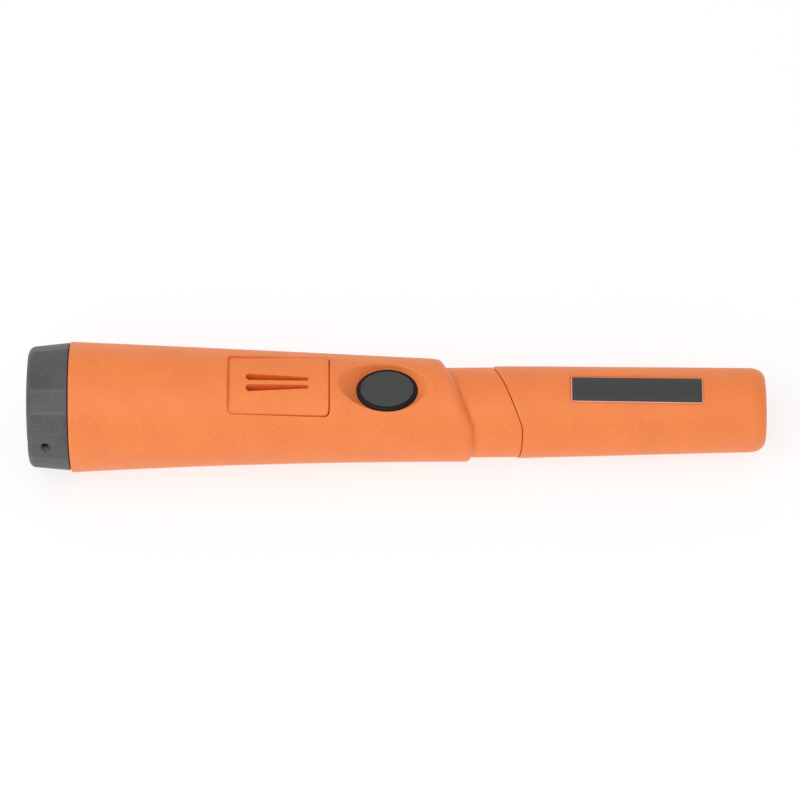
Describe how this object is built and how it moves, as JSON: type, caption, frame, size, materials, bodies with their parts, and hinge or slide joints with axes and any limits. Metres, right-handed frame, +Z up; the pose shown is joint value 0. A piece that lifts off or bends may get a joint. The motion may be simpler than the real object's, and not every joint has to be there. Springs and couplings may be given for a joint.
{
  "type": "pinpointer probe",
  "caption": "Handheld metal-detecting pinpointer: tapered handle with speaker panel and oval button, slanted neck, slip-on wear cover and scalloped screw battery cap.",
  "frame": {"origin": "under the middle of the probe, on the surface that it lies on", "axes": "+X along the probe towards the tip, +Z up through the button's face, +Y to the left seen from the cap"},
  "size_m": [0.229, 0.0404, 0.04],
  "materials": {
    "orange_plastic": "fine spark texture, satin",
    "membrane": "matte film",
    "grey_plastic": "fine spark texture, matte",
    "button_rubber": "smooth matte face, darker flank",
    "seal_rubber": "matte",
    "label": "smooth satin film",
    "black_plastic": "satin",
    "battery_case": "painted jacket",
    "white_plastic": "satin",
    "circuit_board": "solder mask",
    "foam": "open-cell foam",
    "steel": "brushed",
    "brass": "polished",
    "copper_winding": "enamelled wire",
    "ferrite": "ground ceramic",
    "clear_lens": "polished clear",
    "red_plastic": "gloss",
    "black_wire": "gloss",
    "blue_plastic": "gloss",
    "yellow_wire": "gloss"
  },
  "bodies": {
    "housing": {"main_housing": "orange_plastic", "speaker_panel": "orange_plastic", "speaker_membrane": "membrane", "speaker_gasket": "foam", "speaker": "black_plastic", "button_retaining_ring": "black_plastic", "led": "clear_lens", "led_lens": "clear_lens", "battery_9v": "battery_case", "battery_stud_terminal": "steel", "battery_snap_terminal": "steel", "contact_clip_positive": "brass", "contact_clip_negative": "brass", "contact_board": "circuit_board", "battery_bulkhead": "white_plastic", "chassis_tray": "black_plastic", "main_pcb": "circuit_board", "chassis_screw_1": "steel", "chassis_screw_2": "steel", "chassis_screw_3": "steel", "chassis_screw_4": "steel", "microcontroller": "black_plastic", "amplifier_chip": "black_plastic", "crystal_oscillator": "steel", "tuning_capacitor": "red_plastic", "tact_switch": "black_plastic", "main_capacitor": "blue_plastic", "inductor": "black_plastic", "motor_cradle": "black_plastic", "vibration_motor": "steel", "ferrite_rod": "ferrite", "coil_former": "white_plastic", "transmit_coil": "copper_winding", "receive_coil": "copper_winding", "coil_end_support": "white_plastic", "tip_pad": "foam", "battery_lead_positive": "red_plastic", "battery_lead_negative": "black_wire", "speaker_lead_positive": "red_plastic", "speaker_lead_negative": "black_wire", "motor_lead_positive": "red_plastic", "motor_lead_negative": "black_wire", "transmit_coil_lead": "yellow_wire", "receive_coil_lead": "blue_plastic"},
    "wear_cover": {"wear_cover": "orange_plastic", "nameplate_label": "label"},
    "battery_pad": {"battery_foam_pad": "foam"},
    "battery_cap": {"battery_cap": "grey_plastic", "cap_o_ring": "seal_rubber"},
    "button": {"button_cap": "button_rubber"},
    "switch_plunger": {"switch_plunger": "white_plastic"},
    "motor_weight": {"motor_weight": "brass"}
  },
  "joints": [
    {"name": "cover_pull", "type": "slide", "parent": "housing", "child": "wear_cover", "axis": [1, 0, 0], "range_m": [0, 0.08]},
    {"name": "cap_draw", "type": "slide", "parent": "housing", "child": "battery_pad", "axis": [-1, 0, 0], "range_m": [0, 0.007]},
    {"name": "cap_turn", "type": "hinge", "parent": "battery_pad", "child": "battery_cap", "pos_m": [-0.1145, 0, 0.02022], "axis": [-1, 0, 0], "range_deg": [0, 840]},
    {"name": "button_press", "type": "slide", "parent": "housing", "child": "button", "axis": [0, 0, -1], "range_m": [0, 0.00055], "stiffness_N_per_m": 800, "springref_m": -0.0003},
    {"name": "switch_travel", "type": "slide", "parent": "housing", "child": "switch_plunger", "axis": [0, 0, -1], "range_m": [0, 0.0003]},
    {"name": "motor_spin", "type": "hinge", "parent": "housing", "child": "motor_weight", "pos_m": [-0.0079, 0, 0.0074], "axis": [1, 0, 0], "continuous": true}
  ],
  "couplings": [
    {"joint": "cap_turn", "follows": "cap_draw", "rad_per_m": 2094.4},
    {"joint": "switch_travel", "follows": "button_press", "ratio": 0.5}
  ]
}
